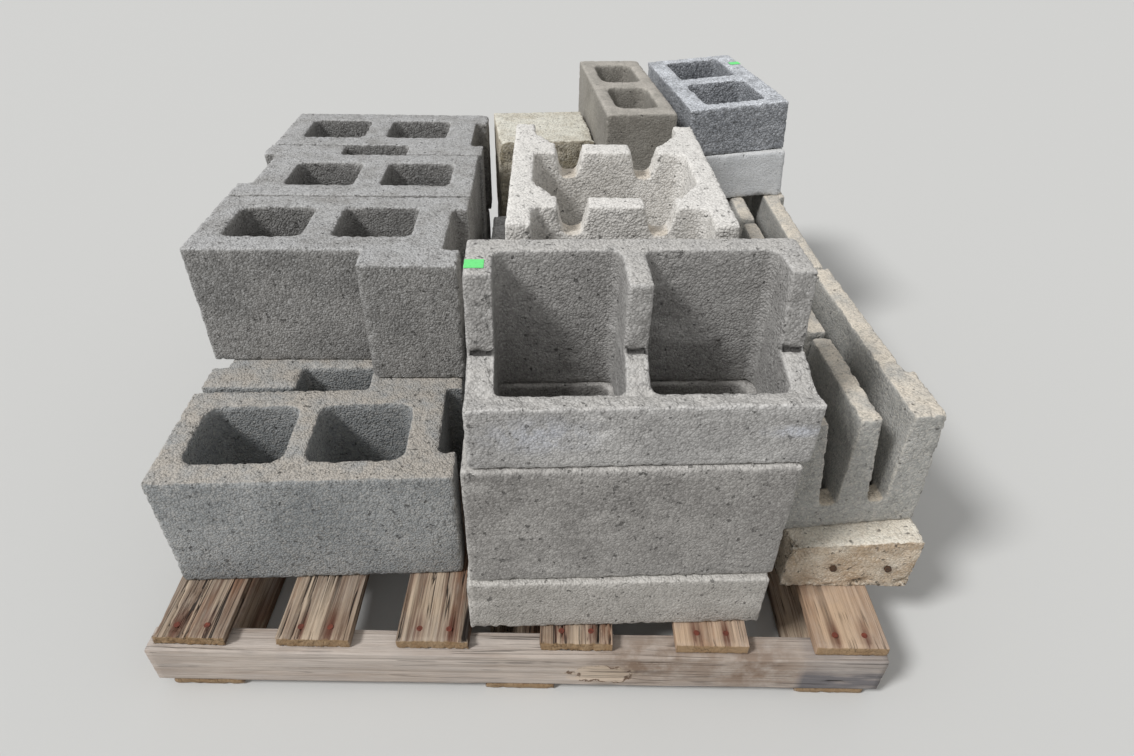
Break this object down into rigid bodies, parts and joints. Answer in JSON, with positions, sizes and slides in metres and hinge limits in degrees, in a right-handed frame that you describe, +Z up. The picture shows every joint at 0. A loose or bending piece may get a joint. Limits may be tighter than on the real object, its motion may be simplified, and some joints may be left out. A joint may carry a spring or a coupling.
{
  "type": "pallet of concrete blocks",
  "caption": "Wooden stringer pallet loaded with loose concrete masonry: corner, two-core, knock-out, narrow, slotted and half-high blocks on it and on a precast sill.",
  "frame": {"origin": "centre of the pallet's underside, on the floor", "axes": "+X along the stringers to the right of the side seen first, +Y away from that side along the deck boards, +Z up"},
  "size_m": [1.0708, 1.2681, 0.5814],
  "materials": {
    "stringer_wood": "rough sawn, weathered grey-brown",
    "weathered_board": "rough sawn, cracked and weathered",
    "fresh_board": "rough sawn, tan",
    "rusty_steel": "rusted",
    "grey_concrete": "open-textured block face",
    "warm_grey_concrete": "open-textured block face, warm tops",
    "pale_concrete": "open-textured, whitish tops",
    "cream_concrete": "cream, pitted and stained",
    "olive_concrete": "smooth olive grey",
    "beige_concrete": "smooth sides, sandy tops",
    "coarse_concrete": "coarse, open, bluish grey",
    "green_label": "plain bright green, blank"
  },
  "bodies": {
    "root": {"stringer_front": "stringer_wood", "stringer_middle": "stringer_wood", "stringer_back": "stringer_wood", "deck_board_1": "weathered_board", "deck_board_2": "weathered_board", "deck_board_3": "weathered_board", "deck_board_4": "weathered_board", "deck_board_5": "fresh_board", "deck_board_6": "fresh_board", "bottom_board_left": "weathered_board", "bottom_board_middle": "weathered_board", "bottom_board_right": "weathered_board", "pallet_nails": "rusty_steel", "corner_block_lower_front": "warm_grey_concrete", "corner_block_lower_second": "warm_grey_concrete", "corner_block_lower_third": "warm_grey_concrete", "corner_block_lower_back": "warm_grey_concrete", "corner_block_upper_front": "grey_concrete", "corner_block_upper_middle": "grey_concrete", "corner_block_upper_back": "grey_concrete", "half_high_block_bottom": "grey_concrete", "full_block": "grey_concrete", "broken_block": "grey_concrete", "knock_out_block": "pale_concrete", "knock_out_support": "grey_concrete", "narrow_block": "olive_concrete", "narrow_support": "grey_concrete", "half_block": "cream_concrete", "half_support": "grey_concrete", "sill": "cream_concrete", "sill_rebars": "rusty_steel", "slotted_block_front": "beige_concrete", "slotted_block_middle": "beige_concrete", "slotted_block_back": "beige_concrete", "smooth_half_high_block": "grey_concrete", "coarse_half_high_block": "coarse_concrete", "blank_labels": "green_label"}
  },
  "joints": []
}
